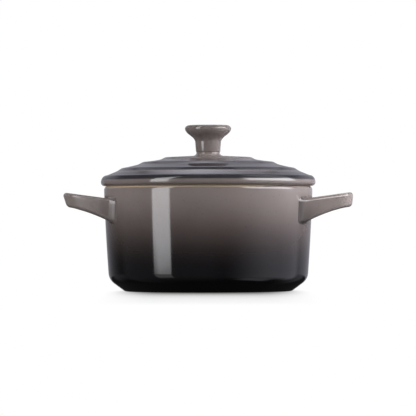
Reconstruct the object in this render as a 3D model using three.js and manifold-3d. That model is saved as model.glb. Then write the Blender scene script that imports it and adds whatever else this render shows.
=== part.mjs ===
// A mini cocotte in glazed stoneware: a small thick-walled pot with two loop handles,
// and a stepped lid with a knob, which rests on the pot's rim and lifts straight off.
//
// Millimetres, +Z up. The origin is the centre of the foot, and the handles lie along X.

import * as THREE from "three";
import { mergeVertices } from "three/addons/utils/BufferGeometryUtils.js";
import Module from "manifold-3d";

// Driving dimensions: the pot, from the foot up
const FOOT_RADIUS = 40.5; // outer edge of the flat ring that the pot stands on
const FOOT_RING_WIDTH = 5;
const FOOT_RECESS = 0.8; // how far the underside is hollowed inside the ring
const FOOT_RECESS_SLOPE = 1.2; // run of the slope between the ring and the hollow
const CHAMFER_RUN = 5; // the slanted face that leaves the foot
const CHAMFER_RISE = 3.7;
const WALL_START = 9; // height where the wall leaves the rounded bottom corner
const WALL_START_RADIUS = 48.4;
const RIM_RADIUS = 50.5; // outside of the wall, just under the rim
const WALL_SWELL = 0.18; // how far the wall bulges past a straight cone, halfway up
const POT_HEIGHT = 51; // foot to rim
const WALL = 5.2;
const FLOOR = 6;
const INSIDE_CORNER = 8; // radius where the inside wall meets the floor
const RIM_OUTER_ROUND = 2.3;
const RIM_INNER_ROUND = 1.1;

// The lid, from its seat on the rim up
const LID_OVERHANG = 1.5; // how far the lid's bead stands out past the wall
const BEAD_UNDER_ROUND = 1.7; // lower rounding of the bead
const BEAD_HEIGHT = 4.9;
const BEAD_SHOULDER = 2.1; // how far the bead rounds inwards to meet the first slope
const LOWER_STEP_INSET = 7.9; // from the bead's shoulder in to the first step's edge
const LOWER_STEP_RISE = 3.8;
const MIDDLE_STEP_INSET = 10.2; // from one step's edge in to the next
const MIDDLE_STEP_RISE = 2.9;
const UPPER_STEP_INSET = 11;
const UPPER_STEP_RISE = 2.4;
const RISER_RUN = 2; // the steep end of each slope, below a step's edge
const RISER_RISE = 1.45;
const CROWN_RISE = 0.6; // from the last step's edge up to the knob
const LID_THICKNESS = 4.6; // at the middle
const FLANGE_CLEARANCE = 0.9; // between the locating flange and the inside of the pot
const FLANGE_WIDTH = 3.6;
const FLANGE_DEPTH = 4.2; // how far the flange drops into the pot
const FLANGE_ROUND = 1.2;
const BOSS_RADIUS = 5.65; // the neck on the lid that carries the knob
const BOSS_HEIGHT = 1.6;
const BOSS_FILLET = 1;

// The knob
const KNOB_HEIGHT = 13.5;
const KNOB_FOOT_RADIUS = 5.85;
const KNOB_FOOT_ROUND = 0.6;
const STEM_RADIUS = 6.25; // at the top of the stem, where it starts to flare
const STEM_HEIGHT = 5;
const HEAD_RADIUS = 11.2;
const HEAD_WIDEST = 11.6; // height of the head's widest ring above the knob's foot
const HEAD_CROWN = 0.25; // how far the top of the head is domed
const HEAD_TOP_ROUND = 2.2; // run of the rounding between the top and the widest ring

// The handles
const HANDLE_REACH = 19.35; // past the outside of the wall
const HANDLE_ROOT_SPREAD = 40.3; // between the middles of the two roots, at the wall
const HANDLE_TIP_SPREAD = 27.3; // between the bar's two corners
const HANDLE_BAR = 7.6; // width of the bar, seen from above
const HANDLE_CORNER = 6.5; // bend radius at the bar's corners, along its middle
const HANDLE_EDGE_ROUND = 1.7;
const TIP_TOP_DROP = 3.1; // below the pot's rim
const ROOT_TOP_DROP = 6.35;
const TIP_UNDER_DROP = 10.4;
const ROOT_UNDER_DROP = 18.2;
const UNDER_SWEEP = 1.6; // exponent of the underside's curve from root to tip
const HANDLE_SEAM = 0.3; // gap between a handle's root and the wall

// Fineness of the round forms
const POT_SIDES = 64;
const KNOB_SIDES = 32;
const ROUND_STEPS = 3; // a small rounding
const CURVE_STEPS = 4; // a longer curve
const DOME_STEPS = 6;
const FLARE_STEPS = 8;
const LIMB_STEPS = 8;
const BEND_STEPS = 5;

// Sizes that follow from those above
const mouthRadius = RIM_RADIUS - WALL;
const lidRadius = RIM_RADIUS + LID_OVERHANG;
const crownHeight =
  POT_HEIGHT + BEAD_HEIGHT + LOWER_STEP_RISE + MIDDLE_STEP_RISE + UPPER_STEP_RISE + CROWN_RISE;
const knobFootHeight = crownHeight + BOSS_HEIGHT;
const handleRootX = Math.sqrt(RIM_RADIUS ** 2 - (HANDLE_ROOT_SPREAD / 2) ** 2);
const handleTipX = RIM_RADIUS + HANDLE_REACH;

const wasm = await Module();
wasm.setup();

// A closed geometry as a solid that can be cut.
function solidOf(geometry) {
  const bare = geometry.clone();
  bare.deleteAttribute("normal");
  bare.deleteAttribute("uv");
  const merged = mergeVertices(bare);
  return new wasm.Manifold(
    new wasm.Mesh({
      numProp: 3,
      vertProperties: merged.attributes.position.array,
      triVerts: new Uint32Array(merged.index.array),
    }),
  );
}

// A cut solid as a geometry again.
function geometryOf(solid) {
  const mesh = solid.getMesh();
  const geometry = new THREE.BufferGeometry();
  geometry.setAttribute("position", new THREE.BufferAttribute(mesh.vertProperties, 3));
  geometry.setIndex(new THREE.BufferAttribute(mesh.triVerts, 1));
  geometry.computeVertexNormals();
  return geometry;
}

// Turns an outline of (radius, height) points about the Z axis.
function turned(outline, sides) {
  return new THREE.LatheGeometry(outline, sides).rotateX(Math.PI / 2);
}

function at(radius, height) {
  return new THREE.Vector2(radius, height);
}

// Points along an elliptical arc, between two angles in degrees.
function arc(centre, radiusX, radiusY, from, to, steps) {
  const [start, end] = [from, to].map((angle) => THREE.MathUtils.degToRad(angle));
  const curve = new THREE.EllipseCurve(centre.x, centre.y, radiusX, radiusY, start, end, end < start);
  return curve.getPoints(steps);
}

// Points along a curve that leaves start towards control and reaches end from control.
function sweep(start, control, end, steps) {
  return new THREE.QuadraticBezierCurve(start, control, end).getPoints(steps);
}

// Glazed stoneware of one colour.
function glaze(colour) {
  return new THREE.MeshStandardMaterial({ color: colour, roughness: 0.12, metalness: 0 });
}

function piece(name, geometry, material) {
  const mesh = new THREE.Mesh(geometry, material);
  mesh.name = name;
  return mesh;
}

// The pot's outside from the foot to the flat of the rim, moved out by grow.
function potOutside(grow) {
  const foot = at(FOOT_RADIUS + grow, 0);
  const chamferTop = at(FOOT_RADIUS + CHAMFER_RUN + grow, CHAMFER_RISE);
  const wallFoot = at(WALL_START_RADIUS + grow, WALL_START);
  const wallTop = at(RIM_RADIUS + grow, POT_HEIGHT - RIM_OUTER_ROUND);
  // the chamfer's line and the wall's line meet at the corner's control point
  const lean = (wallTop.x - wallFoot.x) / (wallTop.y - wallFoot.y);
  const slope = CHAMFER_RISE / CHAMFER_RUN;
  const run =
    (wallFoot.x - chamferTop.x - lean * (wallFoot.y - chamferTop.y)) / (1 - lean * slope);
  const corner = at(chamferTop.x + run, chamferTop.y + run * slope);
  const bulge = at((wallFoot.x + wallTop.x) / 2 + 2 * WALL_SWELL, (wallFoot.y + wallTop.y) / 2);
  const rimCentre = at(wallTop.x - RIM_OUTER_ROUND, wallTop.y);
  return [
    foot,
    ...sweep(chamferTop, corner, wallFoot, CURVE_STEPS),
    ...sweep(wallFoot, bulge, wallTop, CURVE_STEPS).slice(1),
    ...arc(rimCentre, RIM_OUTER_ROUND, RIM_OUTER_ROUND, 0, 90, ROUND_STEPS).slice(1),
  ];
}

// The pot: a ring foot, the outside, a flat rim for the lid, and the hollow inside.
function makePot() {
  const ringInside = FOOT_RADIUS - FOOT_RING_WIDTH;
  const rimCentre = at(mouthRadius + RIM_INNER_ROUND, POT_HEIGHT - RIM_INNER_ROUND);
  const cornerCentre = at(WALL_START_RADIUS - WALL - INSIDE_CORNER, FLOOR + INSIDE_CORNER);
  const outline = [
    at(0, FOOT_RECESS),
    at(ringInside - FOOT_RECESS_SLOPE, FOOT_RECESS),
    at(ringInside, 0),
    ...potOutside(0),
    ...arc(rimCentre, RIM_INNER_ROUND, RIM_INNER_ROUND, 90, 180, ROUND_STEPS),
    ...arc(cornerCentre, INSIDE_CORNER, INSIDE_CORNER, 0, -90, CURVE_STEPS),
    at(0, FLOOR),
  ];
  return piece("pot_body", turned(outline, POT_SIDES), glaze(0x5d5552));
}

// The lid's upper side from the bead's widest ring in to the boss: three slopes, each
// steepening to a step's edge, and the crown.
function lidOutside() {
  const shoulderCentre = at(lidRadius - BEAD_SHOULDER, POT_HEIGHT + BEAD_UNDER_ROUND);
  const shoulderRise = BEAD_HEIGHT - BEAD_UNDER_ROUND;
  const points = arc(shoulderCentre, BEAD_SHOULDER, shoulderRise, 0, 90, CURVE_STEPS);
  const steps = [
    [LOWER_STEP_INSET, LOWER_STEP_RISE],
    [MIDDLE_STEP_INSET, MIDDLE_STEP_RISE],
    [UPPER_STEP_INSET, UPPER_STEP_RISE],
  ];
  for (const [inset, rise] of steps) {
    const start = points.at(-1);
    const edge = at(start.x - inset, start.y + rise);
    const riserFoot = at(edge.x + RISER_RUN, edge.y - RISER_RISE);
    points.push(...sweep(start, riserFoot, edge, CURVE_STEPS).slice(1));
  }
  const filletCentre = at(BOSS_RADIUS + BOSS_FILLET, crownHeight + BOSS_FILLET);
  return [
    ...points,
    ...arc(filletCentre, BOSS_FILLET, BOSS_FILLET, -90, -180, ROUND_STEPS),
    at(BOSS_RADIUS, knobFootHeight),
  ];
}

// The lid: a domed underside, a flange that drops into the mouth of the pot, a flat seat
// and the stepped upper side.
function makeLid() {
  const flangeOuter = mouthRadius - FLANGE_CLEARANCE;
  const flangeInner = flangeOuter - FLANGE_WIDTH;
  const flangeRise = POT_HEIGHT - FLANGE_DEPTH + FLANGE_ROUND;
  const domeFoot = POT_HEIGHT + BEAD_HEIGHT + LOWER_STEP_RISE - LID_THICKNESS;
  const domeRise = crownHeight - LID_THICKNESS - domeFoot;
  const innerRound = at(flangeInner + FLANGE_ROUND, flangeRise);
  const outerRound = at(flangeOuter - FLANGE_ROUND, flangeRise);
  const beadCentre = at(lidRadius - BEAD_UNDER_ROUND, POT_HEIGHT + BEAD_UNDER_ROUND);
  const outline = [
    ...arc(at(0, domeFoot), flangeInner, domeRise, 90, 0, DOME_STEPS),
    ...arc(innerRound, FLANGE_ROUND, FLANGE_ROUND, 180, 270, ROUND_STEPS),
    ...arc(outerRound, FLANGE_ROUND, FLANGE_ROUND, -90, 0, ROUND_STEPS),
    at(flangeOuter, POT_HEIGHT),
    ...arc(beadCentre, BEAD_UNDER_ROUND, BEAD_UNDER_ROUND, -90, 0, ROUND_STEPS),
    ...lidOutside().slice(1),
    at(0, knobFootHeight),
  ];
  return piece("lid", turned(outline, POT_SIDES), glaze(0x4a4a4d));
}

// The knob: a stem that flares into a flat-topped head, set on the lid's boss.
function makeKnob() {
  const footCentre = at(KNOB_FOOT_RADIUS - KNOB_FOOT_ROUND, KNOB_FOOT_ROUND);
  const flareMiddle = (STEM_HEIGHT + HEAD_WIDEST) / 2;
  const flare = new THREE.CubicBezierCurve(
    at(STEM_RADIUS, STEM_HEIGHT),
    at(STEM_RADIUS, flareMiddle),
    at(HEAD_RADIUS, flareMiddle),
    at(HEAD_RADIUS, HEAD_WIDEST),
  );
  const topCentre = at(HEAD_RADIUS - HEAD_TOP_ROUND, HEAD_WIDEST);
  const topRise = KNOB_HEIGHT - HEAD_CROWN - HEAD_WIDEST;
  const outline = [
    at(0, 0),
    ...arc(footCentre, KNOB_FOOT_ROUND, KNOB_FOOT_ROUND, -90, 0, ROUND_STEPS),
    ...flare.getPoints(FLARE_STEPS),
    ...arc(topCentre, HEAD_TOP_ROUND, topRise, 0, 90, CURVE_STEPS).slice(1),
    at(0, KNOB_HEIGHT),
  ];
  const knob = piece("knob", turned(outline, KNOB_SIDES), glaze(0x746b67));
  knob.position.z = knobFootHeight;
  return knob;
}

// The middle of the right handle's bar, seen from above, as points with headings: out from
// inside the wall along one limb, round the two corners, and back along the other limb.
function handleRoute() {
  const root = at(handleRootX, -HANDLE_ROOT_SPREAD / 2);
  const corner = at(handleTipX - HANDLE_BAR / 2, -HANDLE_TIP_SPREAD / 2);
  const along = corner.clone().sub(root).normalize();
  const slant = along.angle();
  const setback = HANDLE_CORNER * Math.tan((Math.PI / 2 - slant) / 2);
  const buried = root.clone().addScaledVector(along, -HANDLE_BAR);
  const limb = new THREE.LineCurve(buried, corner.clone().addScaledVector(along, -setback));
  const bend = new THREE.EllipseCurve(
    corner.x - HANDLE_CORNER, corner.y + setback, HANDLE_CORNER, HANDLE_CORNER,
    slant - Math.PI / 2, 0,
  );
  const half = [[limb, LIMB_STEPS], [bend, BEND_STEPS]].flatMap(([curve, steps]) =>
    Array.from({ length: steps }, (_, k) => ({
      point: curve.getPoint(k / steps),
      heading: curve.getTangent(k / steps),
    })),
  );
  half.push({ point: bend.getPoint(1), heading: at(0, 1) });
  const otherHalf = half.toReversed().map(({ point, heading }) => ({
    point: at(point.x, -point.y),
    heading: at(-heading.x, heading.y),
  }));
  return [...half, ...otherHalf];
}

// The right handle's bar before it is cut to the wall: a section with rounded edges along the
// route, whose top and underside rise from root to tip.
function handleBar() {
  const share = (x) => THREE.MathUtils.clamp((x - handleRootX) / (handleTipX - handleRootX), 0, 1);
  const topAt = (x) => POT_HEIGHT - THREE.MathUtils.lerp(ROOT_TOP_DROP, TIP_TOP_DROP, share(x));
  const underAt = (x) =>
    POT_HEIGHT - TIP_UNDER_DROP - (ROOT_UNDER_DROP - TIP_UNDER_DROP) * (1 - share(x)) ** UNDER_SWEEP;

  // each edge of the section in turn: which side, top or underside, and its quarter turn
  const edges = [[1, true, 0], [-1, true, 90], [-1, false, 180], [1, false, 270]];
  const route = handleRoute();
  const positions = [];
  for (const { point, heading } of route) {
    for (const [side, isTop, turn] of edges) {
      const centre = at(side * (HANDLE_BAR / 2 - HANDLE_EDGE_ROUND), 0);
      const quarter = arc(
        centre, HANDLE_EDGE_ROUND, HANDLE_EDGE_ROUND, turn, turn + 90, ROUND_STEPS,
      );
      for (const { x: across, y: rise } of quarter) {
        const x = point.x + heading.y * across;
        const y = point.y - heading.x * across;
        const level = isTop ? topAt(x) - HANDLE_EDGE_ROUND : underAt(x) + HANDLE_EDGE_ROUND;
        positions.push(x, y, level + rise);
      }
    }
  }

  const ring = edges.length * (ROUND_STEPS + 1);
  const indices = [];
  for (let first = 0; first < (route.length - 1) * ring; first += ring) {
    for (let k = 0; k < ring; k++) {
      const a = first + k;
      const b = first + ((k + 1) % ring);
      indices.push(a, a + ring, b, b, a + ring, b + ring);
    }
  }
  const last = (route.length - 1) * ring;
  for (let k = 1; k + 1 < ring; k++) {
    indices.push(0, k, k + 1, last, last + k + 1, last + k);
  }
  const geometry = new THREE.BufferGeometry();
  geometry.setAttribute("position", new THREE.Float32BufferAttribute(positions, 3));
  geometry.setIndex(indices);
  return geometry;
}

// A handle's bar cut to the outside of the wall, with a thin seam.
function handleGeometry() {
  const wall = [at(0, 0), ...potOutside(HANDLE_SEAM), at(0, POT_HEIGHT)];
  return geometryOf(solidOf(handleBar()).subtract(solidOf(turned(wall, POT_SIDES))));
}

function makeHandles() {
  const geometry = handleGeometry();
  const sides = [["handle_right", 0], ["handle_left", Math.PI]];
  return sides.map(([name, turn]) => {
    const handle = piece(name, geometry, glaze(0x6f6663));
    handle.rotation.z = turn;
    return handle;
  });
}

const cocotte = new THREE.Group();
cocotte.name = "mini_cocotte";
cocotte.add(makePot(), ...makeHandles(), makeLid(), makeKnob());

export default cocotte;
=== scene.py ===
# %% [markdown]
# A mini cocotte: a small stoneware casserole for one portion, with two loop handles and a
# stepped lid with a knob. The glaze runs from taupe at the rim to black at the foot.
#
# The CAD frame holds the real sizes. Every piece is modelled again here, finer than its CAD
# solid and in the same place, because clay and glaze leave no sharp edge anywhere.

# %% Load the frame
import math

import bmesh
import bpy
from mathutils import Color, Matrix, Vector


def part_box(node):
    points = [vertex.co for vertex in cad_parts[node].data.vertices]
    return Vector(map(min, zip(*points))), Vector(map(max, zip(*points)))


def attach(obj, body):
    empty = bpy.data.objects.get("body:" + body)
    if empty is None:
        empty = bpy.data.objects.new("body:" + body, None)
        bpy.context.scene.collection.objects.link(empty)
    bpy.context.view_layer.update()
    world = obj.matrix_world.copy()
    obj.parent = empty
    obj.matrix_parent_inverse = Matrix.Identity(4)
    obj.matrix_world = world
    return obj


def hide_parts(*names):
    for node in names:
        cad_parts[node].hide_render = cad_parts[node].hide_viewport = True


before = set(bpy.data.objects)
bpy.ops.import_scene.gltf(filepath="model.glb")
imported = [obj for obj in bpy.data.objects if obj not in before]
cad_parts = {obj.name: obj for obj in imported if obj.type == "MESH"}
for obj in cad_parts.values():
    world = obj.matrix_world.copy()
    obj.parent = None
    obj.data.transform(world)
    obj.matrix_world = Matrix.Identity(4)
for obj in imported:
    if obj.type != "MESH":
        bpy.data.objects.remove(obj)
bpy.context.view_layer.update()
MM = 0.001
print("CAD nodes:", ", ".join(sorted(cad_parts)))

# %% [markdown]
# The picture is taken from straight in front, at a little more than half the height of the
# wall. A short lens from nearby would fill the picture too, but it would show the rim as a wide
# ellipse. From far away with a long lens the rim looks almost like a straight line. The lens
# follows from the distance and from the width that the picture shows at the axis.

# %% Camera
SENSOR_WIDTH = 36.0
CAMERA_DISTANCE = 1600 * MM
CAMERA_HEIGHT = 30 * MM
CAMERA_ROLL = math.radians(0.12)
CAMERA_REACH = 10
SHOWN_WIDTH = 201.7 * MM
SHOWN_MIDDLE = Vector((-0.13, 0, 40.3)) * MM

camera_place = Vector((SHOWN_MIDDLE.x, -CAMERA_DISTANCE, CAMERA_HEIGHT))
camera_tilt = math.atan2(SHOWN_MIDDLE.z - CAMERA_HEIGHT, CAMERA_DISTANCE)
camera_turn = (math.pi / 2 + camera_tilt, CAMERA_ROLL, 0)
bpy.ops.object.camera_add(location=camera_place, rotation=camera_turn)
camera = bpy.context.object
camera.data.sensor_width = SENSOR_WIDTH
camera.data.lens = SENSOR_WIDTH * CAMERA_DISTANCE / SHOWN_WIDTH
camera.data.clip_end = CAMERA_REACH
bpy.context.scene.camera = camera
print("Lens in mm:", round(camera.data.lens, 1))

# %% [markdown]
# The pot, the lid and the knob are round, and a potter shapes them on a wheel or in a turned
# mould. In Blender that is a spin: a plane is merged to one point, the point is extruded along
# the outline, the corners are bevelled, and the outline is turned about the Z axis. Stacked
# cylinders could do it too, but a drawn outline keeps every curve in one place.

# %% Curves for an outline
CURVE_STEPS = 16


def arc(centre, across, up, first, last):
    """Points along an ellipse between two angles in degrees."""
    points = []
    for step in range(CURVE_STEPS + 1):
        turn = math.radians(first + (last - first) * step / CURVE_STEPS)
        points.append((centre[0] + across * math.cos(turn), centre[1] + up * math.sin(turn)))
    return points


def bowed(start, control, end, share):
    """A point on a curve that leaves start towards control and reaches end from control."""
    first = Vector(start).lerp(Vector(control), share)
    second = Vector(control).lerp(Vector(end), share)
    return first.lerp(second, share)


def sweep(start, control, end, steps=CURVE_STEPS):
    """Points along such a curve, as plain pairs."""
    return [tuple(bowed(start, control, end, step / steps)) for step in range(steps + 1)]


# %% Helpers that every mesh needs
CLOSE = 0.002 * MM


def added(name, add_primitive, **sizes):
    """A new object from one of Blender's primitives, selected alone."""
    bpy.ops.object.select_all(action="DESELECT")
    add_primitive(**sizes)
    piece = bpy.context.object
    piece.name = piece.data.name = name
    return piece


def extrude(step, count=1):
    """Extrudes what is selected, count times, by a step in mm."""
    for _ in range(count):
        bpy.ops.mesh.extrude_region_move(TRANSFORM_OT_translate={"value": step * MM})


def close_skin(piece):
    """Merges the points that meet, turns the faces outwards and leaves edit mode."""
    bpy.ops.mesh.select_all(action="SELECT")
    bpy.ops.mesh.remove_doubles(threshold=CLOSE)
    bpy.ops.mesh.normals_make_consistent(inside=False)
    bpy.ops.object.mode_set(mode="OBJECT")
    bpy.ops.object.shade_smooth()
    print(piece.name, "faces:", len(piece.data.polygons))


# %% A helper that turns an outline
CORNER_STEPS = 8
ROUND_SIDES = 192


def select_places(piece, places):
    """Selects the points of the piece that lie at the given places in mm, in edit mode."""
    mesh = bmesh.from_edit_mesh(piece.data)
    for point in mesh.verts:
        point.select = any((point.co - place * MM).length < CLOSE for place in places)
    mesh.select_flush_mode()
    bmesh.update_edit_mesh(piece.data)


def turned(name, outline):
    """A round piece. Outline points are (radius, height) or (radius, height, corner), in mm."""
    places = [Vector((point[0], 0, point[1])) for point in outline]
    piece = added(name, bpy.ops.mesh.primitive_plane_add, size=MM)
    bpy.ops.object.mode_set(mode="EDIT")
    bpy.ops.mesh.select_all(action="SELECT")
    bpy.ops.mesh.merge(type="CENTER")
    bpy.ops.transform.translate(value=places[0] * MM)
    for before, after in zip(places, places[1:]):
        extrude(after - before)

    corners = {point[2] for point in outline if len(point) == 3}
    for corner in sorted(corners):
        rounded = [place for place, point in zip(places, outline) if point[2:] == (corner,)]
        select_places(piece, rounded)
        bpy.ops.mesh.bevel(offset=corner * MM, segments=CORNER_STEPS, affect="VERTICES")

    bpy.ops.mesh.select_all(action="SELECT")
    bpy.ops.mesh.spin(steps=ROUND_SIDES, angle=2 * math.pi, center=(0, 0, 0), axis=(0, 0, 1))
    close_skin(piece)
    return piece


# %% [markdown]
# The pot has a thick wall that leans out a little, a slanted edge above its foot, and a ring
# foot, so that only the ring stands on the table. The rim is flat for the lid, with a broad
# rounding outside. The wall could be a few points with a smoothing modifier, but its curve is a
# formula here, because the handles are fitted to it.

# %% Sizes of the pot
pot_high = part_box("pot_body")[1] / MM
RIM_RADIUS = pot_high.x
RIM_HEIGHT = pot_high.z
RIM_ROUND = 1.95
MOUTH_ROUND = 1.1
WALL = 5.2
WALL_SWELL = 0.18
WALL_FOOT = (48.4, 9.0)
mouth_radius = RIM_RADIUS - WALL
wall_top = RIM_HEIGHT - RIM_ROUND
wall_rise = wall_top - WALL_FOOT[1]
wall_lean = (RIM_RADIUS - WALL_FOOT[0]) / wall_rise


def wall_radius(height):
    """Radius of the outside of the wall at a height, in mm."""
    share = (height - WALL_FOOT[1]) / wall_rise
    straight = WALL_FOOT[0] + wall_lean * (height - WALL_FOOT[1])
    return straight + 4 * WALL_SWELL * share * (1 - share)


print("Rim in mm:", round(RIM_RADIUS, 2), "radius at height", round(RIM_HEIGHT, 2))

# %% Turn the pot
WALL_STEPS = 12
FOOT_RADIUS = 40.5
FOOT_RING = 5.0
FOOT_RECESS = 0.8
RECESS_SLOPE = 1.2
RECESS_ROUND = 0.6
RING_INNER_ROUND = 0.5
RING_OUTER_ROUND = 0.7
CHAMFER_RUN = 5.0
CHAMFER_RISE = 3.7
INSIDE_FLOOR = 6.0
INSIDE_CORNER = 8.0

ring_inner = FOOT_RADIUS - FOOT_RING
chamfer_top = (FOOT_RADIUS + CHAMFER_RUN, CHAMFER_RISE)
chamfer_slope = CHAMFER_RISE / CHAMFER_RUN
corner_run = WALL_FOOT[0] - chamfer_top[0] - wall_lean * (WALL_FOOT[1] - chamfer_top[1])
corner_run /= 1 - wall_lean * chamfer_slope
bottom_corner = (chamfer_top[0] + corner_run, chamfer_top[1] + chamfer_slope * corner_run)
wall_heights = [WALL_FOOT[1] + wall_rise * step / WALL_STEPS for step in range(1, WALL_STEPS)]

pot = turned("glazed_pot", [
    (0, FOOT_RECESS),
    (ring_inner - RECESS_SLOPE, FOOT_RECESS, RECESS_ROUND),
    (ring_inner, 0, RING_INNER_ROUND),
    (FOOT_RADIUS, 0, RING_OUTER_ROUND),
    *sweep(chamfer_top, bottom_corner, WALL_FOOT),
    *[(wall_radius(height), height) for height in wall_heights],
    (RIM_RADIUS, RIM_HEIGHT, RIM_ROUND),
    (mouth_radius, RIM_HEIGHT, MOUTH_ROUND),
    (WALL_FOOT[0] - WALL - wall_lean * INSIDE_CORNER, INSIDE_FLOOR, INSIDE_CORNER),
    (0, INSIDE_FLOOR),
])

# %% [markdown]
# The lid rests on the rim with a flat seat, and a flange under it drops into the mouth of the
# pot so that it can't slide off. Its edge is a fat bead. From the bead three shallow slopes
# climb to the knob, each ending in a short steep riser with a soft edge. The steps could be
# inset and extruded from a disc, but as part of the outline each one keeps its own curve.

# %% Sizes of the lid
lid_low, lid_high = [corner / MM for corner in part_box("lid")]
LID_RADIUS = lid_high.x
BEAD_UNDER = 1.7
BEAD_HEIGHT = 5.15
BEAD_SHOULDER = 2.8
SHOULDER_TURN = 75
SLOPES = [
    ((47.0, 6.0), (44.2, 7.15), (41.9, 8.65)),
    ((38.5, 9.2), (33.8, 10.45), (31.6, 11.65)),
    ((27.0, 12.05), (22.9, 12.85), (20.9, 13.9)),
]
SLOPE_STEPS = 6
EDGE_ROUND = 0.5
RISER_ROUND = 0.7
CREASE_ROUND = 0.4
bead_inner = LID_RADIUS - BEAD_SHOULDER
bead_middle = RIM_HEIGHT + BEAD_UNDER
shoulder_rise = BEAD_HEIGHT - BEAD_UNDER


def lid_slopes():
    """The bead's shoulder, then slopes and risers with soft edges, from the outside in."""
    start = (bead_inner, bead_middle + shoulder_rise)
    shoulder = arc((bead_inner, bead_middle), BEAD_SHOULDER, shoulder_rise, 0, SHOULDER_TURN)
    points = [*shoulder[1:], (*start, CREASE_ROUND)]
    for slope in SLOPES:
        middle, foot, edge = [(radius, RIM_HEIGHT + rise) for radius, rise in slope]
        points += sweep(start, middle, foot, SLOPE_STEPS)[1:-1]
        points += [(*foot, RISER_ROUND), (*edge, EDGE_ROUND)]
        start = edge
    return points


print("Lid radius in mm:", round(LID_RADIUS, 2), "with", len(SLOPES), "slopes")

# %% Turn the lid
CROWN_RISE = 14.55
LID_THICKNESS = 4.6
FLANGE_CLEARANCE = 0.9
FLANGE_WIDTH = 3.6
FLANGE_ROUND = 1.2
SEAT_ROUND = 0.4
BOSS_RADIUS = 5.65
BOSS_SPREAD = 2.6
flange_outer = mouth_radius - FLANGE_CLEARANCE
flange_inner = flange_outer - FLANGE_WIDTH
crown_height = RIM_HEIGHT + CROWN_RISE
dome_foot = RIM_HEIGHT + SLOPES[0][2][1] - LID_THICKNESS
dome_rise = crown_height - LID_THICKNESS - dome_foot

lid = turned("glazed_lid", [
    *arc((0, dome_foot), flange_inner, dome_rise, 90, 0),
    (flange_inner, lid_low.z, FLANGE_ROUND),
    (flange_outer, lid_low.z, FLANGE_ROUND),
    (flange_outer, RIM_HEIGHT, SEAT_ROUND),
    *arc((LID_RADIUS - BEAD_UNDER, bead_middle), BEAD_UNDER, BEAD_UNDER, -90, 0),
    *lid_slopes(),
    *sweep(
        (BOSS_RADIUS + BOSS_SPREAD, crown_height),
        (BOSS_RADIUS, crown_height),
        (BOSS_RADIUS, lid_high.z),
    ),
    (0, lid_high.z),
])

# %% [markdown]
# The knob is a small turned post that flares into a flat head. It could be one outline with the
# lid, but on the real lid it is stuck to a short neck with slip, and a fine groove stays round
# its foot. So it is a piece of its own.

# %% Turn the knob
knob_low, knob_high = [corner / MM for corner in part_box("knob")]
KNOB_FOOT_RADIUS = 5.85
KNOB_FOOT_ROUND = 0.6
STEM_RADIUS = 6.25
STEM_HEIGHT = 5.0
FLARE_BEND = 1.8
HEAD_RADIUS = knob_high.x
HEAD_HEIGHT = 11.6
HEAD_TOP_ROUND = 2.2
HEAD_CROWN = 0.25
stem_top = (STEM_RADIUS, knob_low.z + STEM_HEIGHT)
head_side = (HEAD_RADIUS, knob_low.z + HEAD_HEIGHT)
flare_middle = ((stem_top[0] + head_side[0]) / 2, (stem_top[1] + head_side[1]) / 2)
head_rise = knob_high.z - HEAD_CROWN - head_side[1]

knob = turned("glazed_knob", [
    (0, knob_low.z),
    (KNOB_FOOT_RADIUS, knob_low.z, KNOB_FOOT_ROUND),
    *sweep(stem_top, (STEM_RADIUS, flare_middle[1] - FLARE_BEND), flare_middle),
    *sweep(flare_middle, (HEAD_RADIUS, flare_middle[1] + FLARE_BEND), head_side)[1:],
    *arc((HEAD_RADIUS - HEAD_TOP_ROUND, head_side[1]), HEAD_TOP_ROUND, head_rise, 0, 90)[1:],
    (0, knob_high.z),
])

# %% [markdown]
# Each handle is a bar of clay bent into a loop. Both ends are pressed against the wall and
# smoothed over, so they flare softly into it. A curve with a bevel could make the loop, but not
# its flat faces or its changing height. So one half is modelled: a rounded section is extruded
# along the bar, spun round the corner and extruded along the limb, and a mirror adds the other
# half. In between, the heights, the lean and the flare are set point by point, as fingers would.

# %% Sizes of the handles
handle_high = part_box("handle_right")[1] / MM
BAR_WIDTH = 7.6
BAR_ROUND = 1.7
BAR_NOMINAL = 3.5
BAR_CORNER = 6.5
ROOT_SPREAD = 40.3
TIP_SPREAD = 27.3
ROOT_RING = 6.4

root = Vector((math.sqrt(RIM_RADIUS**2 - (ROOT_SPREAD / 2) ** 2), -ROOT_SPREAD / 2, 0))
bar_corner = Vector((handle_high.x - BAR_WIDTH / 2, -TIP_SPREAD / 2, 0))
along = (bar_corner - root).normalized()
inward = Vector((-along.y, along.x, 0))
slant = math.atan2(along.y, along.x)
bend_turn = math.pi / 2 - slant
setback = BAR_CORNER * math.tan(bend_turn / 2)
bar_middle = Vector((bar_corner.x, 0, 0))
bar_half = TIP_SPREAD / 2 - setback
bend_centre = Vector((bar_corner.x - BAR_CORNER, -bar_half, 0))
limb_length = (bar_corner - root).length - setback - ROOT_RING
print("Handle limb slants", round(math.degrees(slant), 1), "degrees")

# %% Extrude and spin half a bar
BAR_STEPS = 4
BEND_STEPS = 12
LIMB_STEPS = 6
STRAIGHT_STEPS = 4
FLARE_STEPS = 8
FACE_CUTS = 3


def select_long_edges(piece, shortest):
    """Selects the edges that are longer than a length in mm, in edit mode."""
    mesh = bmesh.from_edit_mesh(piece.data)
    for edge in mesh.edges:
        edge.select = edge.calc_length() > shortest * MM
    bmesh.update_edit_mesh(piece.data)


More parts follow.
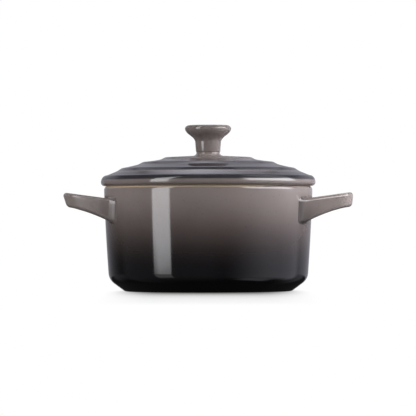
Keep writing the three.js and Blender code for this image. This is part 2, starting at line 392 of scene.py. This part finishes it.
def half_bar(name):
    """Half a loop at one height, from the middle of its bar to a root, left in edit mode."""
    upright = (math.pi / 2, 0, 0)
    piece = added(name, bpy.ops.mesh.primitive_plane_add, size=2 * MM, rotation=upright)
    bpy.ops.object.transform_apply(location=True, rotation=True, scale=True)
    bpy.ops.object.mode_set(mode="EDIT")
    bpy.ops.mesh.select_all(action="SELECT")
    bpy.ops.transform.resize(value=(BAR_WIDTH / 2, 1, BAR_NOMINAL))
    bpy.ops.transform.translate(value=bar_middle * MM)
    bpy.ops.mesh.bevel(offset=BAR_ROUND * MM, segments=CORNER_STEPS, affect="VERTICES")
    bpy.ops.mesh.select_all(action="SELECT")
    bpy.ops.mesh.delete(type="ONLY_FACE")
    bpy.ops.mesh.select_mode(type="EDGE")
    select_long_edges(piece, BAR_ROUND / 2)
    bpy.ops.mesh.subdivide(number_cuts=FACE_CUTS)
    bpy.ops.mesh.select_mode(type="VERT")
    bpy.ops.mesh.select_all(action="SELECT")

    extrude(Vector((0, -bar_half / BAR_STEPS, 0)), BAR_STEPS)
    centre = bend_centre * MM
    bpy.ops.mesh.spin(steps=BEND_STEPS, angle=bend_turn, center=centre, axis=(0, 0, 1))
    extrude(along * (-limb_length / LIMB_STEPS), LIMB_STEPS)
    extrude(-along, STRAIGHT_STEPS + FLARE_STEPS)
    return piece


# %% Heights and lean of the bar
TIP_TOP = RIM_HEIGHT - 3.1
ROOT_TOP = RIM_HEIGHT - 6.35
TIP_UNDER = RIM_HEIGHT - 10.3
ROOT_UNDER = RIM_HEIGHT - 17.95
UNDER_SWEEP = 1.6
LEAN_START = 0.6


def handle_share(x):
    """0 at the root and 1 at the tip."""
    return min(max((x - root.x) / (handle_high.x - root.x), 0), 1)


def raised(x, y, rise):
    """A point of the bar at its real height. Rise is measured from the section's middle."""
    share = handle_share(x)
    if rise > 0:
        height = ROOT_TOP + (TIP_TOP - ROOT_TOP) * share + rise - BAR_NOMINAL
    else:
        under = TIP_UNDER - (TIP_UNDER - ROOT_UNDER) * (1 - share) ** UNDER_SWEEP
        height = under + rise + BAR_NOMINAL
    return Vector((x, y, height))


def leaned(place, outside, lean):
    """The place moved in from the outside, more the lower it lies. Lean is for limb and tip."""
    grown = max((handle_share(place.x) - LEAN_START) / (1 - LEAN_START), 0)
    steepness = lean[0] + (lean[1] - lean[0]) * grown
    return place - outside * steepness * max(TIP_TOP - BAR_ROUND - place.z, 0)


def outside_of(place):
    """The level direction in which the outside of the loop faces at a place on the bar."""
    from_centre = Vector((place.x - bend_centre.x, place.y - bend_centre.y, 0))
    if from_centre.y > 0:
        return Vector((1, 0, 0))
    if from_centre.dot(along) < 0:
        return -inward
    return from_centre.normalized()


print("Handle is", round(TIP_TOP - TIP_UNDER, 2), "mm high at its tip")

# %% Where the limb meets the wall
MEETING_FIRST = -12.0
MEETING_HALVINGS = 40


def limb_point(distance, across, rise, lean):
    """A point of the straight limb, at a distance from the root's middle."""
    flat = root + along * distance + inward * across
    return leaned(raised(flat.x, flat.y, rise), -inward, lean)


def wall_meeting(across, rise, lean):
    """How far along the limb one line of the bar meets the wall."""
    near, far = MEETING_FIRST, ROOT_RING
    for _ in range(MEETING_HALVINGS):
        middle = (near + far) / 2
        point = limb_point(middle, across, rise, lean)
        if math.hypot(point.x, point.y) > wall_radius(point.z):
            far = middle
        else:
            near = middle
    return far


upright_meeting = wall_meeting(0, 0, (0, 0))
print("An upright limb meets the wall", round(upright_meeting, 2), "mm from its root")

# %% The flared root
SIDE_FLARE = (2.4, 1.0)
TOP_FLARE = (0.9, 0.9)
FLARE_FLATNESS = 0.7
ROOT_SINK = 0.03


def section_facing(across, rise):
    """Which way the section's surface faces, as (across, up)."""
    across_part = max(abs(across) - (BAR_WIDTH / 2 - BAR_ROUND), 0)
    rise_part = max(abs(rise) - (BAR_NOMINAL - BAR_ROUND), 0)
    facing = Vector((math.copysign(across_part, across), math.copysign(rise_part, rise)))
    return facing.normalized()


def on_wall(point, sink):
    """The point moved level to the wall's outside, or below it by sink."""
    radius = wall_radius(point.z) - sink
    level = Vector((point.x, point.y, 0)).normalized() * radius
    return Vector((level.x, level.y, point.z))


def root_point(ring, across, rise, lean):
    """A point of the flared root. Ring counts from the limb towards the wall."""
    facing = section_facing(across, rise)
    before, beside = [
        math.hypot(facing.x * side, facing.y * top) for side, top in zip(SIDE_FLARE, TOP_FLARE)
    ]
    meeting = wall_meeting(across, rise, lean)
    if ring <= STRAIGHT_STEPS:
        distance = ROOT_RING + (meeting + before - ROOT_RING) * ring / STRAIGHT_STEPS
        return limb_point(distance, across, rise, lean)
    start = limb_point(meeting + before, across, rise, lean)
    corner = limb_point(meeting, across, rise, lean)
    away = Vector((corner.x, corner.y, 0)).normalized()
    spread = inward * facing.x + Vector((0, 0, facing.y))
    spread -= away * spread.dot(away)
    end = on_wall(corner + spread.normalized() * beside, ROOT_SINK)
    bend = corner.lerp(start.lerp(end, 0.5), FLARE_FLATNESS)
    return bowed(start, bend, end, (ring - STRAIGHT_STEPS) / FLARE_STEPS)


# %% [markdown]
# The outside of each loop leans in towards its lower edge, and on the left one it leans in
# more, as handwork does. The left loop could be a mirrored copy of the right one, but then both
# would lean alike. So each is shaped by itself at the right, and the left one is turned round.

# %% Shape and close a loop
ROOT_DEPTH = 1.2


def shape_half(piece, lean):
    """Gives half a loop its heights, its lean and its flared root."""
    mesh = bmesh.from_edit_mesh(piece.data)
    for point in mesh.verts:
        flat = point.co / MM
        ring = round(ROOT_RING - (flat - root).dot(along))
        if ring > 0:
            place = root_point(ring, (flat - root).dot(inward), flat.z, lean)
        else:
            place = leaned(raised(flat.x, flat.y, flat.z), outside_of(flat), lean)
        point.co = place * MM
    bmesh.update_edit_mesh(piece.data)


def close_loop(piece):
    """Closes the root and adds the other half of the loop."""
    extrude(root.normalized() * -ROOT_DEPTH)
    bpy.ops.mesh.edge_face_add()
    bpy.ops.object.mode_set(mode="OBJECT")
    bpy.ops.object.modifier_add(type="MIRROR")
    mirror = piece.modifiers[-1]
    mirror.use_axis = (False, True, False)
    mirror.merge_threshold = CLOSE
    bpy.ops.object.modifier_apply(modifier=mirror.name)
    bpy.ops.object.mode_set(mode="EDIT")
    close_skin(piece)


def loop_handle(name, lean):
    """A whole handle at the right of the pot."""
    piece = half_bar(name)
    shape_half(piece, lean)
    close_loop(piece)
    return piece


# %% Make both handles
RIGHT_LEAN = (0.03, 0.09)
LEFT_LEAN = (0.12, 0.32)

handle_right = loop_handle("glazed_handle_right", RIGHT_LEAN)
handle_left = loop_handle("glazed_handle_left", LEFT_LEAN)
bpy.ops.transform.rotate(value=math.pi, orient_axis="Z", center_override=(0, 0, 0))
bpy.ops.object.transform_apply(location=True, rotation=True, scale=True)

# %% [markdown]
# Each piece takes the place of its CAD solid and moves with that solid's body. The lid carries
# the knob.

# %% Fix the pieces to the frame
for piece, body, node, slot in [
    (pot, "pot", "pot_body", "pot_glaze"),
    (handle_left, "pot", "handle_left", "handle_glaze"),
    (handle_right, "pot", "handle_right", "handle_glaze"),
    (lid, "lid", "lid", "lid_glaze"),
    (knob, "lid", "knob", "knob_glaze"),
]:
    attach(piece, body)
    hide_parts(node)
    print(piece.name, "rides on", body)

# %% [markdown]
# The glaze is one thick, clear, very smooth coat with colour in it. It is never quite even:
# it clouds a little, carries fine dark specks and lies in faint ripples. Bare clay shows where
# the pot must not stick to the kiln shelf or to its lid. A painted picture on a UV map could
# hold all this, but it is worked out from the place on the object instead, so that the pieces
# match where they meet.

# %% Helpers that join nodes
def paint(red, green, blue):
    """A colour given as it looks on a screen, from 0 to 255."""
    screen = Color([level / 255 for level in (red, green, blue)])
    return (*screen.from_srgb_to_scene_linear(), 1)


def feed(tree, socket, value):
    """Joins a socket to another one, or sets its own value."""
    if isinstance(value, bpy.types.NodeSocket):
        tree.links.new(value, socket)
    else:
        socket.default_value = value


def calc(tree, operation, *values):
    """A Math node with these values as its inputs."""
    node = tree.nodes.new("ShaderNodeMath")
    node.operation = operation
    for socket, value in zip(node.inputs, values):
        feed(tree, socket, value)
    return node.outputs[0]


def ease(tree, value, low, high):
    """Rises smoothly from 0 at low to 1 at high."""
    node = tree.nodes.new("ShaderNodeMapRange")
    node.interpolation_type = "SMOOTHSTEP"
    feed(tree, node.inputs["Value"], value)
    node.inputs["From Min"].default_value = low
    node.inputs["From Max"].default_value = high
    return node.outputs["Result"]


def fade(tree, value, low, high):
    """Falls smoothly from 1 at low to 0 at high."""
    return calc(tree, "SUBTRACT", 1.0, ease(tree, value, low, high))


# %% Helpers for colour and place
MIX_COLOURS_IN = (6, 7)
MIX_COLOUR_OUT = 2


def mixed(tree, share, first, second):
    """First colour where share is 0, second where it is 1."""
    node = tree.nodes.new("ShaderNodeMix")
    node.data_type = "RGBA"
    feed(tree, node.inputs[0], share)
    for number, colour in zip(MIX_COLOURS_IN, (first, second)):
        feed(tree, node.inputs[number], colour)
    return node.outputs[MIX_COLOUR_OUT]


def noise(tree, place, size, detail=2.0):
    """Cloudy noise from 0 to 1 with features of a size in mm."""
    node = tree.nodes.new("ShaderNodeTexNoise")
    feed(tree, node.inputs["Vector"], place)
    node.inputs["Scale"].default_value = 1 / (size * MM)
    node.inputs["Detail"].default_value = detail
    return node.outputs["Fac"]


def coordinates(tree, kind):
    """The Object or UV coordinates of the surface."""
    return tree.nodes.new("ShaderNodeTexCoord").outputs[kind]


def parts_of(tree, place):
    """The X, Y and Z of a place."""
    node = tree.nodes.new("ShaderNodeSeparateXYZ")
    feed(tree, node.inputs[0], place)
    return list(node.outputs)


def in_mm(tree, place):
    """A place as its X, its distance from the Z axis and its height, all in mm."""
    across, deep, height = [calc(tree, "MULTIPLY", part, 1 / MM) for part in parts_of(tree, place)]
    squares = calc(tree, "ADD", calc(tree, "POWER", across, 2.0), calc(tree, "POWER", deep, 2.0))
    return across, calc(tree, "SQRT", squares), height


# %% The coat that all glazes share
CLOUD_SIZE = 14.0
CLOUD_LOWEST = 0.88
CLOUD_SPAN = 0.24
SPECK_SIZE = 0.9
SPECK_EDGE = (0.66, 0.74)
SPECK_DEPTH = 0.16
PALE_CLAY = paint(204, 185, 160)
DARK_CLAY = paint(184, 164, 138)
CLAY_ROUGHNESS = 0.8
GLAZE_ROUGHNESS = 0.06
DULL_SIZE = 5.0
DULL_DEPTH = 0.03
RIPPLE_SIZE = 9.0
RIPPLE_DEPTH = 0.012
GRAIN_SIZE = 0.35
GRAIN_DETAIL = 3.0
GRAIN_DEPTH = 0.03
GLAZE_IOR = 1.5


def glaze_colour(tree, place, colour):
    """A glaze's colour with its clouds and specks."""
    clouds = calc(tree, "MULTIPLY_ADD", noise(tree, place, CLOUD_SIZE), CLOUD_SPAN, CLOUD_LOWEST)
    specks = ease(tree, noise(tree, place, SPECK_SIZE, 1.0), *SPECK_EDGE)
    tint = tree.nodes.new("ShaderNodeVectorMath")
    tint.operation = "SCALE"
    feed(tree, tint.inputs[0], colour)
    level = calc(tree, "SUBTRACT", clouds, calc(tree, "MULTIPLY", specks, SPECK_DEPTH))
    feed(tree, tint.inputs["Scale"], level)
    return tint.outputs[0]


def coat(tree, place, colour, clay=0.0, roughness=GLAZE_ROUGHNESS):
    """Finishes a glaze, with bare clay where clay is 1."""
    shader = tree.nodes["Principled BSDF"]
    shader.inputs["IOR"].default_value = GLAZE_IOR
    grain = noise(tree, place, GRAIN_SIZE, GRAIN_DETAIL)
    clay_colour = mixed(tree, grain, DARK_CLAY, PALE_CLAY)
    surface_colour = mixed(tree, clay, glaze_colour(tree, place, colour), clay_colour)
    feed(tree, shader.inputs["Base Color"], surface_colour)

    smooth = calc(tree, "MULTIPLY_ADD", noise(tree, place, DULL_SIZE), DULL_DEPTH, roughness)
    rough = calc(tree, "MULTIPLY_ADD", clay, CLAY_ROUGHNESS - GLAZE_ROUGHNESS, smooth)
    feed(tree, shader.inputs["Roughness"], rough)

    ripple = calc(tree, "MULTIPLY", noise(tree, place, RIPPLE_SIZE, 1.0), RIPPLE_DEPTH)
    grit = calc(tree, "MULTIPLY", grain, clay)
    bump = tree.nodes.new("ShaderNodeBump")
    bump.inputs["Strength"].default_value = 1.0
    bump.inputs["Distance"].default_value = MM
    feed(tree, bump.inputs["Height"], calc(tree, "MULTIPLY_ADD", grit, GRAIN_DEPTH, ripple))
    feed(tree, shader.inputs["Normal"], bump.outputs["Normal"])


def start_glaze(name):
    """A new material, its tree and the place on the object."""
    material = bpy.data.materials.new(name)
    material.use_nodes = True
    return material, material.node_tree, coordinates(material.node_tree, "Object")


def dress(material, *pieces):
    """Puts a finished glaze on its pieces."""
    for piece in pieces:
        piece.data.materials.append(material)
    print(material.name, "is on", ", ".join(piece.name for piece in pieces))


# %% [markdown]
# On the pot the maker sprays black glaze from below over the taupe one, so the wall shades
# smoothly from one to the other, through a warm brown. A colour ramp on the height could do it,
# but the inside is taupe all over, so the shade is worked out first and the colours follow it.
# The foot ring and the line on the rim are wiped back to the clay. The line is narrower
# towards the sides, most on the right, which paints the shade that falls under the bead there.

# %% Glaze of the pot
TAUPE = paint(124, 115, 111)
UMBER = paint(108, 93, 88)
BLACK_GLAZE_AND_SHADE = paint(10, 9, 10)
SHADE_HEIGHT = (8.0, 50.0)
SHADE_POWER = 1.3
INSIDE_RADIUS = (45.5, 46.3)
INSIDE_HEIGHT = (4.4, 4.8)
WIPE_HEIGHT = (RIM_HEIGHT - 1.05, RIM_HEIGHT - 0.8)
NARROWING_MIDDLE = -12
NARROWING_SIDES = (30, 50)
SHADE_NARROWING = 0.75
FOOT_WIPE = (0.02, 0.05)

material, tree, place = start_glaze("pot_glaze_ombre")
sideways, radius, height = in_mm(tree, place)
shade = calc(tree, "POWER", ease(tree, height, *SHADE_HEIGHT), SHADE_POWER)
within = fade(tree, radius, *INSIDE_RADIUS)
inside = calc(tree, "MULTIPLY", within, ease(tree, height, *INSIDE_HEIGHT))
shade = calc(tree, "MAXIMUM", shade, inside)
# Painted shade: the clay line narrows towards the sides, most on the right, under the bead.
from_middle = calc(tree, "ABSOLUTE", calc(tree, "SUBTRACT", sideways, NARROWING_MIDDLE))
painted_narrowing = calc(tree, "MULTIPLY", ease(tree, from_middle, *NARROWING_SIDES), SHADE_NARROWING)
rim_line = ease(tree, calc(tree, "SUBTRACT", height, painted_narrowing), *WIPE_HEIGHT)
wiped = calc(tree, "MAXIMUM", rim_line, fade(tree, height, *FOOT_WIPE))
brown = mixed(tree, shade, UMBER, TAUPE)
coat(tree, place, mixed(tree, shade, BLACK_GLAZE_AND_SHADE, brown), clay=wiped)
dress(material, pot)

# %% [markdown]
# The lid is taupe round the knob, shades to charcoal on the outer slope, and is taupe again on
# the bead, where the dark spray stops in a soft line and leaves only a little dust. Its
# underside is taupe and its seat is bare clay. Three materials on three rings of faces could
# show this, but their borders would be sharp.

# %% Glaze of the lid
CHARCOAL = paint(50, 49, 52)
LID_SHADE = (12.0, 38.0)
BEAD_LINE = (RIM_HEIGHT + 2.4, RIM_HEIGHT + 3.3)
BEAD_SOFT = 1.0
BEAD_DUST = 0.15
DOME_SHADE = (dome_foot + 2.5, dome_foot + 3.5)
SEAT_RADIUS = (flange_outer - 0.6, flange_outer - 0.3)
SEAT_HEIGHT = (RIM_HEIGHT + 0.03, RIM_HEIGHT + 0.1)

material, tree, place = start_glaze("lid_glaze_ombre")
_, radius, height = in_mm(tree, place)
outer = ease(tree, radius, flange_inner, bead_inner - BEAD_SOFT)
above_bead = calc(tree, "MULTIPLY", ease(tree, height, *BEAD_LINE), outer)
on_top = calc(tree, "MAXIMUM", above_bead, ease(tree, height, *DOME_SHADE))
dark = calc(tree, "MULTIPLY", ease(tree, radius, *LID_SHADE), on_top)
on_bead = ease(tree, radius, bead_inner - BEAD_SOFT, bead_inner)
dark = calc(tree, "MAXIMUM", dark, calc(tree, "MULTIPLY", on_bead, BEAD_DUST))
bare = calc(tree, "MULTIPLY", ease(tree, radius, *SEAT_RADIUS), fade(tree, height, *SEAT_HEIGHT))
coat(tree, place, mixed(tree, dark, TAUPE, CHARCOAL), clay=bare)
dress(material, lid)

# %% [markdown]
# The knob and the handles are taupe, a little lighter where the glaze runs thin. On the handles
# the lower roots are darkened as painted shade, and where they meet the wall the glaze pools and
# shade is painted there too, more so on the right. The outer part of the left handle has less
# gloss. Two materials could hold the two sides, but one that knows its side keeps the handles
# alike in all else.

# %% Glaze of the knob
KNOB_TAUPE = paint(110, 102, 98)
PATCH_SIZE = 3.0
PATCH_DEPTH = 0.25


def uneven(tree, place, thick, thin):
    """The colour of thick glaze, part of the way to that of thin glaze in small patches."""
    patches = calc(tree, "MULTIPLY", noise(tree, place, PATCH_SIZE), PATCH_DEPTH)
    return mixed(tree, patches, thick, thin)


material, tree, place = start_glaze("knob_glaze_taupe")
coat(tree, place, uneven(tree, place, KNOB_TAUPE, TAUPE))
dress(material, knob)

# %% Glaze of the handles
THIN_TAUPE = paint(150, 138, 128)
BETWEEN_HANDLES = (-1, 1)
# Painted shade: the roots darken where they meet the wall, partly real pooling, and on their lower
# part.
POOL_AND_SHADE_RADIUS = (50.4, 53.2)
LOWER_ROOT_SHADE_RADIUS = (50.0, 63.0)
LOWER_ROOT_SHADE_HEIGHT = (33.5, 47.0)
SATIN_RADIUS = (54.0, 58.5)
# Each depth is for the left handle and then for the right one.
POOL_AND_SHADE_DEPTH = (0.35, 0.65)
LOWER_ROOT_SHADE_DEPTH = (0.36, 0.6)
SATIN_DEPTH = (0.12, 0.0)

material, tree, place = start_glaze("handle_glaze_taupe")
sideways, radius, height = in_mm(tree, place)
on_right = ease(tree, sideways, *BETWEEN_HANDLES)
pool_and_shade_depth, lower_root_shade_depth, satin_depth = [
    calc(tree, "MULTIPLY_ADD", on_right, right - left, left)
    for left, right in (POOL_AND_SHADE_DEPTH, LOWER_ROOT_SHADE_DEPTH, SATIN_DEPTH)
]
# Painted shade, with some real pooling, where the roots meet the wall.
pool_and_shade = calc(tree, "MULTIPLY", fade(tree, radius, *POOL_AND_SHADE_RADIUS), pool_and_shade_depth)
# Painted shade on the lower roots.
lower_root_shade = calc(tree, "MULTIPLY", fade(tree, radius, *LOWER_ROOT_SHADE_RADIUS), fade(tree, height, *LOWER_ROOT_SHADE_HEIGHT))
darkened = calc(tree, "MAXIMUM", pool_and_shade, calc(tree, "MULTIPLY", lower_root_shade, lower_root_shade_depth))
colour = mixed(tree, darkened, uneven(tree, place, TAUPE, THIN_TAUPE), BLACK_GLAZE_AND_SHADE)
satin = ease(tree, radius, *SATIN_RADIUS)
roughness = calc(tree, "MULTIPLY_ADD", satin, satin_depth, GLAZE_ROUGHNESS)
coat(tree, place, colour, roughness=roughness)
dress(material, handle_left, handle_right)

# %% [markdown]
# The pot stands on a wide sheet of white paper. Lamps could make it white, but the glaze would
# mirror them, so the paper glows for the camera by itself, less where the pot shelters it from
# the light behind. For the glaze the studio is black: mirrored and bounced light only meet the
# paper under the foot. From below the paper is clear, so that the foot can be looked at.

# %% Helpers for the stage
NEUTRAL = (1, 1, 1)


def stage_material(name):
    """A new material for the stage, with its tree and its output, and no shader yet."""
    material = bpy.data.materials.new(name)
    material.use_nodes = True
    tree = material.node_tree
    tree.nodes.remove(tree.nodes["Principled BSDF"])
    return material, tree, tree.nodes["Material Output"].inputs["Surface"]


def glowing(tree, strength, tint=NEUTRAL):
    """A shader that gives light."""
    node = tree.nodes.new("ShaderNodeEmission")
    node.inputs["Color"].default_value = (*tint, 1)
    feed(tree, node.inputs["Strength"], strength)
    return node.outputs[0]


def see_through(tree):
    """A shader that lets all light pass."""
    return tree.nodes.new("ShaderNodeBsdfTransparent").outputs[0]


def either(tree, share, first, second):
    """First shader where share is 0, second where it is 1."""
    node = tree.nodes.new("ShaderNodeMixShader")
    feed(tree, node.inputs[0], share)
    feed(tree, node.inputs[1], first)
    feed(tree, node.inputs[2], second)
    return node.outputs[0]


# %% The paper and the shadow on it
PAPER_RADIUS = 2000 * MM
PAPER_SIDES = 96
PAPER_DROP = 0.02 * MM
SHADOW_REACH = 250 * MM
SHADOW_SAMPLES = 32
SHADOW_FROM = Vector((0, 0.95, 0.3)).normalized()
SHADOW_SIDES = (22, 50)
SHADOW_END = (230, 330)
SHADOW_DEPTH = 2.1

floor = added(
    "floor", bpy.ops.mesh.primitive_circle_add,
    vertices=PAPER_SIDES, radius=PAPER_RADIUS, fill_type="NGON",
)
floor.location.z = -PAPER_DROP
material, tree, surface = stage_material("floor_white")
rays = tree.nodes.new("ShaderNodeLightPath").outputs
mirrored = calc(tree, "MAXIMUM", rays["Is Glossy Ray"], rays["Is Transmission Ray"])
sideways, away, _ = in_mm(tree, coordinates(tree, "Object"))
towards_back = tree.nodes.new("ShaderNodeCombineXYZ")
for socket, part in zip(towards_back.inputs, SHADOW_FROM):
    socket.default_value = part
shelter = tree.nodes.new("ShaderNodeAmbientOcclusion")
shelter.samples = SHADOW_SAMPLES
shelter.inputs["Distance"].default_value = SHADOW_REACH
feed(tree, shelter.inputs["Normal"], towards_back.outputs[0])
in_front = fade(tree, calc(tree, "ABSOLUTE", sideways), *SHADOW_SIDES)
sides = calc(tree, "MAXIMUM", in_front, mirrored)
near = fade(tree, away, *SHADOW_END)
depth = calc(tree, "MULTIPLY", calc(tree, "MULTIPLY", sides, near), SHADOW_DEPTH)
shaded = calc(tree, "POWER", shelter.outputs["AO"], depth)
print("Paper radius in mm:", round(PAPER_RADIUS / MM))

# %% Who sees the paper
PAPER_WHITE = (0.8, 0.8, 0.8, 1)
OPEN_RADIUS = (36, 40.4)

seen = calc(tree, "MAXIMUM", rays["Is Camera Ray"], mirrored)
bounce = tree.nodes.new("ShaderNodeBsdfDiffuse")
bounce.inputs["Color"].default_value = PAPER_WHITE
lit = either(tree, seen, bounce.outputs[0], glowing(tree, shaded))
under_foot = fade(tree, away, *OPEN_RADIUS)
from_below = tree.nodes.new("ShaderNodeNewGeometry").outputs["Backfacing"]
shown = calc(tree, "MAXIMUM", rays["Is Camera Ray"], under_foot)
shown = calc(tree, "MULTIPLY", shown, calc(tree, "SUBTRACT", 1.0, from_below))
feed(tree, surface, either(tree, shown, see_through(tree), lit))
floor.data.materials.append(material)
print("Paper for the glaze ends at", OPEN_RADIUS[1], "mm from the axis")

# %% [markdown]
# A glossy pot shows the whole studio, so the studio is a black tent and only the lamps in it
# are bright. A black world could do the same, but the camera needs a white one. The tent throws
# back a little light, which lifts the shaded sides, but the glaze shows it almost black. Behind
# the tent the world is plain white for the camera.

# %% World and tent
TENT_RADIUS = 2.2
TENT_SEGMENTS = 48
TENT_RINGS = 24
TENT_SEEN = 0.02
TENT_LIGHT = 0.05
scene = bpy.context.scene

world = bpy.data.worlds.new("studio_white")
world.use_nodes = True
scene.world = world
background = world.node_tree.nodes["Background"]
background.inputs["Color"].default_value = (1, 1, 1, 1)
background.inputs["Strength"].default_value = 1.0

tent = added(
    "tent", bpy.ops.mesh.primitive_uv_sphere_add,
    segments=TENT_SEGMENTS, ring_count=TENT_RINGS, radius=TENT_RADIUS,
)
material, tree, surface = stage_material("tent_black")
material.cycles.emission_sampling = "NONE"
scattered = tree.nodes.new("ShaderNodeLightPath").outputs["Is Diffuse Ray"]
level = calc(tree, "MULTIPLY_ADD", scattered, TENT_LIGHT, TENT_SEEN)
feed(tree, surface, glowing(tree, level))
tent.data.materials.append(material)
tent.visible_camera = False
print("Tent radius in m:", TENT_RADIUS)

# %% [markdown]
# The lamps are softboxes. Area lamps could light the pot too, but the glaze mirrors the shape
# of every lamp, so each one is a curved sheet round the pot that glows and fades out towards
# its edges. It is placed by the directions in which it is seen from the pot.

# %% A helper that hangs a softbox
LAMP_DISTANCE = 0.9
SHEET_CUTS = 24
FOOT_LIFT_ENDS = (0.05, 0.35)
COOL = (0.9, 0.89, 1.0)
FAINTLY_COOL = (0.97, 0.97, 1.0)


def towards(azimuth, elevation):
    """A direction in degrees. Azimuth 0 points at the camera and 90 to the right."""
    turn, lift = math.radians(azimuth), math.radians(elevation)
    level = Vector((math.sin(turn), -math.cos(turn), 0)) * math.cos(lift)
    return level + Vector((0, 0, math.sin(lift)))


def curved_sheet(name, azimuths, elevations, tilt, distance):
    """A sheet round the pot. Tilt is how much higher its last azimuth lies, in degrees."""
    sheet = added(
        name, bpy.ops.mesh.primitive_grid_add,
        x_subdivisions=SHEET_CUTS, y_subdivisions=SHEET_CUTS, size=1,
    )
    bpy.ops.object.mode_set(mode="EDIT")
    mesh = bmesh.from_edit_mesh(sheet.data)
    for point in mesh.verts:
        azimuth = azimuths[0] + (azimuths[1] - azimuths[0]) * (point.co.x + 0.5)
        elevation = elevations[0] + (elevations[1] - elevations[0]) * (point.co.y + 0.5)
        point.co = towards(azimuth, elevation + tilt * point.co.x) * distance
    bmesh.update_edit_mesh(sheet.data)
    bpy.ops.object.mode_set(mode="OBJECT")
    return sheet


def softbox(name, azimuths, elevations, level, edges, tilt=0, top_drop=0.0, foot_lift=0.0,
            tint=NEUTRAL, distance=LAMP_DISTANCE, mirrored=True):
    """A glowing sheet. Edges are its soft parts left, right, below and above, as shares.
    Top_drop and foot_lift are how far its first azimuth is cut back above and below."""
    sheet = curved_sheet(name, azimuths, elevations, tilt, distance)
    material, tree, surface = stage_material(name)
    across, up, _ = parts_of(tree, coordinates(tree, "UV"))
    left, right, below, above = edges
    sides = calc(tree, "MULTIPLY", ease(tree, across, 0, left), fade(tree, across, 1 - right, 1))
    lift = calc(tree, "MULTIPLY", fade(tree, across, *FOOT_LIFT_ENDS), foot_lift)
    from_foot = calc(tree, "SUBTRACT", up, lift)
    to_top = calc(tree, "MULTIPLY_ADD", across, -top_drop, calc(tree, "ADD", up, top_drop))
    foot = ease(tree, from_foot, 0, below)
    top = fade(tree, to_top, 1 - above, 1)
    share = calc(tree, "MULTIPLY", sides, calc(tree, "MULTIPLY", foot, top))
    feed(tree, surface, either(tree, share, see_through(tree), glowing(tree, level, tint)))
    sheet.data.materials.append(material)
    sheet.visible_camera = False
    sheet.visible_glossy = mirrored
    print(name, "level", level)


# %% [markdown]
# A tall softbox in front on the left draws the sharp bright strip on the wall, with a slanted
# top end. One longer sheet could reach down to the foot, but the strip is much dimmer there,
# so a second, dim sheet carries it on.

# %% Lamps for the strip
softbox(
    "strip_softbox", azimuths=(-63.5, -41.5), elevations=(-10.3, 65), level=6.5,
    edges=(0.04, 0.04, 0.09, 0.033), top_drop=0.36, foot_lift=0.02, tint=FAINTLY_COOL,
)
softbox(
    "strip_foot", azimuths=(-63.5, -41.5), elevations=(-38, -4), level=0.95,
    edges=(0.04, 0.04, 0.5, 0.2),
)

# %% [markdown]
# A big softbox close by on the right lights that side and leaves white streaks on the bead, the
# rim and the handle. Alone it would leave the wall below it black, so dimmer sheets above it
# and below it shade the right part of the wall softly down to the foot.

# %% Lamps on the right
softbox(
    "right_softbox", azimuths=(34, 107), elevations=(8, 40), level=9.6,
    edges=(0.14, 0.2, 0.42, 0.14), tilt=-8, tint=FAINTLY_COOL, distance=0.4,
)
softbox(
    "right_upper", azimuths=(60, 135), elevations=(38, 75), level=1.0,
    edges=(0.3, 0.3, 0.3, 0.3),
)
softbox(
    "right_fill", azimuths=(12, 125), elevations=(-42, 14), level=0.9,
    edges=(0.57, 0.12, 0.4, 0.15), tilt=10, tint=COOL, distance=0.45,
)
softbox(
    "right_foot", azimuths=(28, 96), elevations=(-52, -28), level=0.62,
    edges=(0.45, 0.3, 0.2, 0.3), tint=COOL, distance=0.45,
)
softbox(
    "right_middle", azimuths=(36, 120), elevations=(-6, 18), level=0.6,
    edges=(0.3, 0.15, 0.5, 0.3), tint=COOL, distance=0.45,
)

# %% [markdown]
# Two lamps at the sides brighten the colour of the glaze. Mirrored, they would show on it as
# pale patches, so they are hidden from mirrored rays. A very dim sheet in front keeps the dark
# lower wall from going quite black.

# %% Lamps that only fill
softbox(
    "right_light", azimuths=(80, 142), elevations=(-25, 50), level=7.2,
    edges=(0.25, 0.25, 0.25, 0.25), tint=COOL, mirrored=False,
)
softbox(
    "left_light", azimuths=(-130, -60), elevations=(0, 65), level=0.95,
    edges=(0.25, 0.25, 0.25, 0.25), mirrored=False,
)
softbox(
    "front_fill", azimuths=(-120, 40), elevations=(-75, 12), level=0.13,
    edges=(0.1, 0.3, 0.69, 0.16), tint=COOL, distance=1.3,
)

# %% [markdown]
# Sheets behind the pot show in the outer edges of the wall and in the lid: its slopes mirror
# what hangs high at the back. One even sheet would make them flat, so a small brighter one
# makes them shine in the middle. Two low ones at the sides soften the slanted edge above the
# foot.

# %% Lamps behind and low
softbox(
    "back_low", azimuths=(115, 255), elevations=(-10, 12), level=0.45,
    edges=(0.1, 0.6, 0.2, 0.2), tint=COOL, distance=1.2,
)
softbox(
    "right_low", azimuths=(95, 152), elevations=(-50, -4), level=0.22,
    edges=(0.3, 0.3, 0.8, 0.13), tint=COOL, distance=1.2,
)
softbox(
    "left_low", azimuths=(208, 256), elevations=(-34, -4), level=0.13,
    edges=(0.35, 0.3, 0.75, 0.2), tint=COOL, distance=1.2,
)
softbox(
    "back_middle", azimuths=(105, 255), elevations=(6, 36), level=0.45,
    edges=(0.2, 0.2, 0.25, 0.25), tint=COOL, distance=1.3,
)
softbox(
    "back_upper", azimuths=(135, 225), elevations=(30, 64), level=0.62,
    edges=(0.3, 0.3, 0.25, 0.15), tint=COOL, distance=1.2,
)
softbox(
    "back_softbox", azimuths=(166, 196), elevations=(33, 66), level=1.65,
    edges=(0.55, 0.43, 0.3, 0.15), tint=COOL, distance=1.1,
)

# %% [markdown]
# The view transform stays plain, so that a colour looks as it is written.

# %% Finish
scene.view_settings.view_transform = "Standard"
